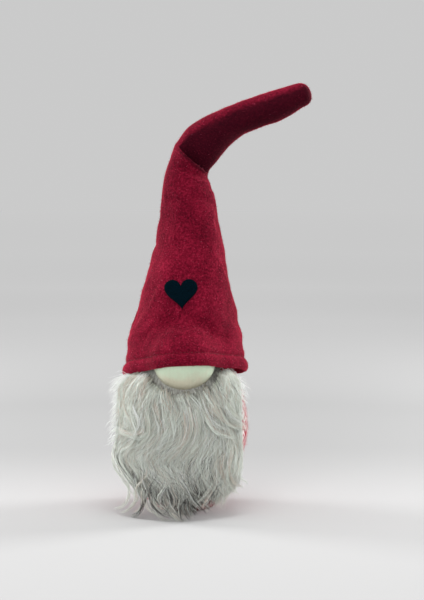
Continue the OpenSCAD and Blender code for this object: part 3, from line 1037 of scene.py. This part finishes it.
def fill_locks(paths, per_lock, spread, tip_share, width, wild):
    """Strands round each lock's middle line, drawn together towards its end."""
    count = len(paths) * per_lock
    middle = np.repeat(paths, per_lock, axis=0)
    along = unit(np.gradient(middle, axis=1))
    outward = unit(middle * np.array([1, 1, 0]))
    sideway = unit(np.cross(along, outward))
    turn = rng.uniform(0, 2 * np.pi, count)
    reach = spread * np.sqrt(rng.random(count))
    s = np.linspace(0, 1, POINTS)
    close = 1 - (1 - tip_share) * smooth01(s * 1.1)
    twist = turn[:, None] + s * rng.normal(0, 0.9, count)[:, None]
    offset = sideway * (np.cos(twist) * reach[:, None] * close)[..., None]
    offset += outward * (np.abs(np.sin(twist)) * reach[:, None] * close * 0.6)[..., None]
    phase = rng.uniform(0, 2 * np.pi, (count, 1, 3))
    rate = rng.uniform(4, 11, (count, 1, 1))
    ripple = np.sin(rate * s[None, :, None] + phase) * wild * smooth01(s * 2)[None, :, None]
    path = out_of_nose(middle + offset + ripple)
    path[:, :, 2] = np.maximum(path[:, :, 2], 0.5 * MM)
    taper = np.clip(1.05 - s ** 3, 0.1, 1)
    radii = width / 2 * taper * rng.uniform(0.7, 1.25, (count, 1))
    return path, radii


def lock_tints(paths, per_lock, weights):
    """A main tint for each lock with others mixed in. Painted shadow: low in the middle, where shade falls
    under and between the locks, locks turn to the fur-shadow and grey tints, and the fur-shadow tint shows
    nowhere else.
    """
    count = len(paths)
    at = paths[:, POINTS * 2 // 3]
    # painted shadow mask: low in the middle of the beard
    dark = smooth01((48 * MM - at[:, 2]) / (26 * MM))
    dark = dark * smooth01((50 * MM - np.abs(at[:, 0] + 8 * MM)) / (22 * MM))
    main = rng.choice(len(FUR), count, p=weights)
    main = np.where((main == FUR_SHADOW) & (dark < 0.3), FUR_MID, main)
    darkened = rng.random(count) < 0.85 * dark
    main = np.where(darkened, rng.choice([FUR_SHADOW, FUR_SHADOW, FUR_GREY], count), main)
    main = np.repeat(main, per_lock)
    other = rng.choice(len(FUR), len(main), p=weights)
    other = np.where((other == FUR_SHADOW) & np.repeat(dark < 0.3, per_lock), FUR_GREY, other)
    return np.where(rng.random(len(main)) < 0.4, other, main)


def blend_beard(obj):
    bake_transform(obj)


# Each layer has three rows, with lengths in millimetres. The first says how many locks there are, the lowest
# and the highest root, the shortest and the longest lock, rise, curl and lift. The second says how many strands
# a lock has, their spread, the share of it left at the end, width and wildness. The third is the tints' shares.
LAYERS = {
    # The under layer's tints run darker: painted shade deep in the pile, its fur-shadow tint kept to the
    # painted shadow low in the middle.
    "beard_under": (
        (240, 16, 134, 40, 70, 4, 0.2, 0),
        (14, 6.0, 0.5, 0.6, 1.2),
        (0.25, 0.2, 0.35, 0.2, 0, 0),
    ),
    "beard_middle": (
        (230, 34, 146, 60, 95, 6, 0.25, 18),
        (19, 7.0, 0.4, 0.5, 1.4),
        (0.02, 0.1, 0.48, 0.17, 0.23, 0),
    ),
    "beard_outer": (
        (240, 56, 150, 60, 110, 8, 0.35, 27),
        (15, 6.0, 0.3, 0.38, 1.6),
        (0, 0.04, 0.4, 0.17, 0.31, 0.08),
    ),
    "beard_cheeks": (
        (150, 126, 151, 26, 60, 8, 0.3, 0),
        (14, 5.5, 0.4, 0.42, 1.4),
        (0, 0.04, 0.42, 0.16, 0.3, 0.08),
    ),
    "beard_stray": (
        (5000, 36, 148, 40, 90, 9.5, 0.5, 20),
        (1, 1.0, 1.0, 0.3, 2.6),
        (0, 0.06, 0.3, 0.12, 0.36, 0.16),
    ),
}


# Long wisps that lie on top: how many pairs lie near a route, and its X and Z down the front in millimetres
WISPS = [
    (4, [(3, 124), (5, 108), (7, 88), (-1, 70), (-10, 60)]),
    (3, [(-12, 122), (-10, 104), (-6, 86), (-14, 70), (-22, 58)]),
    (3, [(-9, 68), (-4, 53), (6, 36), (16, 20), (24, 12)]),
    (4, [(-30, 126), (-34, 112), (-29, 90), (-35, 76), (-50, 67)]),
    (3, [(-46, 126), (-52, 108), (-46, 92), (-52, 78), (-60, 72)]),
    (3, [(-36, 98), (-38, 85), (-48, 80), (-61, 82)]),
    (3, [(-58, 72), (-62, 56), (-46, 36), (-34, 24)]),
    (4, [(19, 126), (25, 114), (35, 95), (47, 88), (56, 85)]),
    (3, [(34, 124), (42, 110), (48, 98), (57, 92)]),
    (3, [(22, 84), (20, 66), (14, 52), (18, 34), (26, 22)]),
    (3, [(46, 84), (43, 66), (40, 46), (46, 32), (55, 25)]),
    (3, [(-28, 62), (-20, 44), (-28, 28), (-24, 14)]),
    (2, [(-46, 34), (-44, 20), (-50, 9), (-59, 3)]),
    (3, [(-30, 34), (-30, 18), (-22, 8), (-12, 4)]),
    (3, [(-12, 38), (-12, 20), (-6, 8), (3, 1)]),
    (2, [(6, 34), (1, 20), (2, 9), (8, 2)]),
    (2, [(30, 40), (26, 28), (20, 18), (16, 13)]),
    (2, [(-6, 48), (-14, 34), (-10, 20), (-16, 10)]),
    (2, [(14, 50), (8, 36), (12, 24), (6, 14)]),
    (2, [(-34, 48), (-38, 32), (-34, 18), (-40, 10)]),
]
WISP_STRANDS = 13


def make_wisps():
    """The long light locks that curl over the rest, each drawn to a point."""
    lines = []
    for pairs, route in WISPS:
        table = np.array(route_between([p + (0, 0) for p in route], 6))[:, :2] * MM
        at = np.linspace(0, len(table) - 1, POINTS)
        x, z = (np.interp(at, np.arange(len(table)), table[:, c]) for c in (0, 1))
        for _ in range(2 * pairs):
            moved_x = x + rng.normal(0, 4.5 * MM) + np.linspace(0, rng.normal(0, 4 * MM), POINTS)
            moved_z = np.maximum(z + rng.normal(0, 3 * MM), 1 * MM)
            r = BELLY_R + ROOT_OUT + rng.uniform(6, 9.5) * MM
            start = smooth01(np.linspace(0.15, 2.2, POINTS))
            r = drape_r(moved_z) + ROOT_OUT + (r - drape_r(moved_z)) * start
            moved_x = np.clip(moved_x, -0.93 * r, 0.86 * r)
            lines.append(np.stack([moved_x, -np.sqrt(r ** 2 - moved_x ** 2), moved_z], 1))
    lines = out_of_nose(np.array(lines))
    path, radii = fill_locks(lines, WISP_STRANDS, 3.2 * MM, 0.18, 0.36 * MM, 1.0 * MM)
    return tubes("beard_wisps", path, radii, lock_tints(lines, WISP_STRANDS, (0, 0.04, 0.4, 0.14, 0.32, 0.1)))


def make_layer(name):
    (count, low, high, short, long, rise, curl, lift), (per, spread, tip, width, wild), tints = LAYERS[name]
    lines = lock_paths(count, low * MM, high * MM, short * MM, long * MM, rise * MM, curl, lift * MM)
    path, radii = fill_locks(lines, per, spread * MM, tip, width * MM, wild * MM)
    return tubes(name, path, radii, lock_tints(lines, per, tints))


def make_corner_tufts():
    """White fluff that stands out sideways from under the hem at both corners, and down the edges."""
    paths = []
    for edge, way, count, low in ((LEFT, -1, 420, 70 * MM), (RIGHT, 1, 300, 96 * MM)):
        z = 136 * MM - (136 * MM - low) * rng.random(count) ** 2.2
        angle = edge - rng.uniform(-0.12, 0.06, count) * way
        start = around_front(angle, drape_r(z) + ROOT_OUT + 5 * MM, z)
        length = rng.uniform(9, 22, count) * MM * (0.55 + 0.45 * smooth01((z - 110 * MM) / (24 * MM)))
        heading = unit(np.stack([np.full(count, 0.8 * way), rng.normal(-0.25, 0.3, count),
                                 rng.normal(-0.35, 0.35, count)], 1))
        s = np.linspace(0, 1, POINTS)[None, :, None]
        droop = np.array([0, 0, -1.0]) * s ** 2 * length[:, None, None] * 0.45
        wave = np.sin(5 * s + rng.uniform(0, 6.3, (count, 1, 3))) * 1.2 * MM * s
        paths.append(start[:, None] + heading[:, None] * length[:, None, None] * s + droop + wave)
    path = np.concatenate(paths)
    taper = np.clip(1.05 - np.linspace(0, 1, POINTS) ** 2, 0.1, 1)
    radii = 0.19 * MM * taper * rng.uniform(0.7, 1.3, (len(path), 1))
    return tubes("beard_tufts", path, radii, rng.choice([FUR_LIGHT, FUR_WHITE], len(path), p=[0.3, 0.7]))


def layer_sheet(name, out, high, rise, left, right, thick):
    """A thin closed sheet in front of the body. Its foot is that far above the locks' foot line."""
    wide, tall = 56, 44
    verts = []
    for face in (out, out + thick):
        for row in range(tall):
            for a in np.linspace(left, right, wide):
                foot = float(np.interp(BELLY_R * math.sin(a), FOOT_X, FOOT_Z)) + rise
                z = high + (foot - high) * row / (tall - 1)
                r = float(drape_r(z)) + face
                verts.append((r * math.sin(a), -r * math.cos(a), z))
    faces, layer = [], wide * tall
    for i in range(tall - 1):
        for k in range(wide - 1):
            p = i * wide + k
            faces.append((p, p + wide, p + wide + 1, p + 1))
            faces.append((layer + p, layer + p + 1, layer + p + wide + 1, layer + p + wide))
    rim = [i * wide for i in range(tall)] + [(tall - 1) * wide + k for k in range(1, wide)]
    rim += [i * wide + wide - 1 for i in range(tall - 2, -1, -1)] + list(range(wide - 2, 0, -1))
    for i, p in enumerate(rim):
        n = rim[(i + 1) % len(rim)]
        faces.append((p, layer + p, layer + n, n))
    return make_object(name, verts, faces)


beard = [make_layer(name) for name in LAYERS] + [make_wisps(), make_corner_tufts()]
for layer in beard:
    dress(layer, *FUR)
    blend_beard(layer)
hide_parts("beard_pile", "beard_top_pile")

backing = layer_sheet("beard_backing_cloth", 0.4 * MM, 146 * MM, 12 * MM, LEFT * 0.93, RIGHT * 0.96, 0.9 * MM)
dress(backing, BACKING)
blend_beard(backing)
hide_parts("beard_backing", "beard_top_backing")

# a sheet under the locks whose darker grey is painted shade in the gaps between them
undercoat = layer_sheet("beard_undercoat", 1.4 * MM, 145 * MM, 15 * MM, LEFT * 0.92, RIGHT * 0.95, 2.4 * MM)
subdivide(undercoat)
dress(undercoat, UNDERCOAT)
blend_beard(undercoat)


# ---------- seams and stitches ----------

def stitches(name, line, out, pitch, length, thickness, slant=0.0, closed=False):
    """A row of stitches along a line on a surface with its outward directions. Each arches out of it."""
    line, out = np.asarray(line), np.asarray(out)
    if closed:
        line, out = np.vstack([line, line[:1]]), np.vstack([out, out[:1]])
    along = np.concatenate([[0], np.cumsum(np.linalg.norm(np.diff(line, axis=0), axis=1))])
    middles = np.arange(pitch / 2, along[-1] - pitch / 4, pitch)

    def at(table, where):
        return np.stack([np.interp(where, along, table[:, c]) for c in range(3)], -1)

    s = np.linspace(-0.5, 0.5, 6)
    where = np.clip(middles[:, None] + s * length, 0, along[-1])
    normal = unit(at(out, where))
    sideway = unit(np.cross(normal, unit(at(line, where + 0.5 * MM) - at(line, where - 0.5 * MM) + 1e-9)))
    rise = (1 - (2 * s) ** 4) * thickness * 0.9 - thickness * 0.55
    paths = at(line, where) + normal * rise[None, :, None] + sideway * (slant * s * length)[None, :, None]
    radii = np.full(paths.shape[:2], thickness / 2) * (1 - 0.5 * (2 * s) ** 6)
    return tubes(name, paths, radii, sides=6)


def on_surface(obj, points):
    """The nearest points of an object's surface, with the outward directions there."""
    tree = BVHTree.FromObject(obj, bpy.context.evaluated_depsgraph_get())
    found = [tree.find_nearest(Vector(p)) for p in points]
    return np.array([f[0] for f in found]), np.array([f[1] for f in found])


def make_hem_stitches():
    out, height = HEM_LINE[HEM_GROOVE]
    groove = cone_ring(HAT_ANGLES, hem_height(HAT_ANGLES) + height * MM, out * MM)
    line, normal = on_surface(hat, groove)
    return stitches("hem_stitches", line, normal, 3.6 * MM, 2.3 * MM, 0.55 * MM, closed=True)


def make_back_seam():
    """Small slanted stitches up the back of the cone and along the back of the tip."""
    back = hat_rings()[len(HEM_LINE) - 4:-len(TIP_END), 0]
    line, normal = on_surface(hat, back)
    return stitches("hat_seam_stitches", line, normal, 4.2 * MM, 3.0 * MM, 0.5 * MM, slant=0.8)


hem_stitches = dress(make_hem_stitches(), RED_THREAD)
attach(hem_stitches, "figure")
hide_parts("hem_stitch")

hat_seam = dress(make_back_seam(), RED_THREAD)
blend_tip(hat_seam)
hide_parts("hat_back_seam", "tip_seam")


def make_body_seam():
    z = np.linspace(SEAM_LOW.z, SEAM_HIGH.z, 60)
    line, normal = on_surface(body, np.stack([0 * z, body_r(z), z], 1))
    return stitches("body_seam_stitches", line, normal, 4.0 * MM, 2.8 * MM, 0.5 * MM, slant=0.9)


body_seam = dress(make_body_seam(), RED_THREAD)
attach(body_seam, "figure")
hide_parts("body_back_seam")


# The bottom panel from its middle below, over its rim, to its middle above: share of its radius, and height
BOTTOM_LINE = [
    (0.12, 0.0), (0.5, 0.0), (0.86, 0.0), (0.96, 0.25), (1.0, 0.8), (0.97, 1.4), (0.86, 1.6), (0.5, 1.6),
    (0.12, 1.6),
]
BOTTOM_SIDES = 96
BOTTOM_TURN = np.linspace(0, 2 * np.pi, BOTTOM_SIDES + 1)[:-1]


def make_bottom():
    rings = [level_ring(BOTTOM_TURN, BASE_R * share, z * MM) for share, z in BOTTOM_LINE]
    return closed_rings("bottom_panel_cloth", rings)


bottom = dress(make_bottom(), PLAIN_RED)
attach(bottom, "figure")
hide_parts("base_panel")


def make_base_seam():
    line = level_ring(BOTTOM_TURN, BASE_R + 0.4 * MM, 1.7 * MM)
    out = level_ring(BOTTOM_TURN, 1.0, 0.0)
    return stitches("base_seam_stitches", line, out, 4.2 * MM, 2.8 * MM, 0.6 * MM, slant=0.5, closed=True)


base_seam = dress(make_base_seam(), WHITE_THREAD)
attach(base_seam, "figure")
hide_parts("base_seam")


def make_bag():
    """The inner bag of weights: lumpy, and gathered at its mouth."""
    low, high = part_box("weight_bag")
    sides = 72
    turn = 2 * np.pi * np.arange(sides) / sides
    foot_r = float(body_r(low.z)) - 4 * MM
    top = high.z - 5 * MM
    top_r = float(body_r(top))
    line = [(foot_r * share, low.z + up * MM) for share, up in ((0.4, 0), (0.9, 0), (1, 0.8))]
    line += [(float(body_r(z)) - 3.2 * MM, z) for z in np.linspace(low.z + 3 * MM, top - 3 * MM, 10)]
    line += [(0.80 * top_r, top), (0.45 * top_r, top + 2.6 * MM), (4 * MM, high.z - 2 * MM), (3 * MM, high.z)]
    bag = closed_rings("weight_bag_cloth", [level_ring(turn, r, z) for r, z in line])
    push(bag, 0.5 * MM * field(coordinates(bag), 9 * MM, 9) - 0.4 * MM)
    return bag


bag = dress(make_bag(), BAG_CLOTH)
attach(bag, "figure")
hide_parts("weight_bag")


# ---------- frame nodes that stay: hard or threadlike pieces inside ----------

def node_fibre(name, low, high, size, height=0.3, **more):
    """A fibre material for a frame node, with its sizes in millimetres."""
    return fibre_material(name, low, high, size * MM, height=height * MM, on_node=True, **more)


KEPT = {
    "base_board": node_fibre("card_board", (150, 116, 78), (186, 152, 110), 3, sheen=0),
    "weight_pellets": node_fibre("pellet_grey", (96, 98, 100), (170, 172, 176), 3.5, 1.2, sheen=0, shine=0.4),
    "neck_tie": node_fibre("tie_cord", (160, 132, 96), (206, 182, 146), 1.5),
    "nose_gather_thread": node_fibre("gather_thread", (200, 198, 190), (240, 238, 232), 0.8),
    "hat_wire": steel_material(),
    "tip_wire": steel_material(),
}
for name, material in KEPT.items():
    slots = frame["nodes"][name].data.materials
    slots.clear()
    slots.append(material)
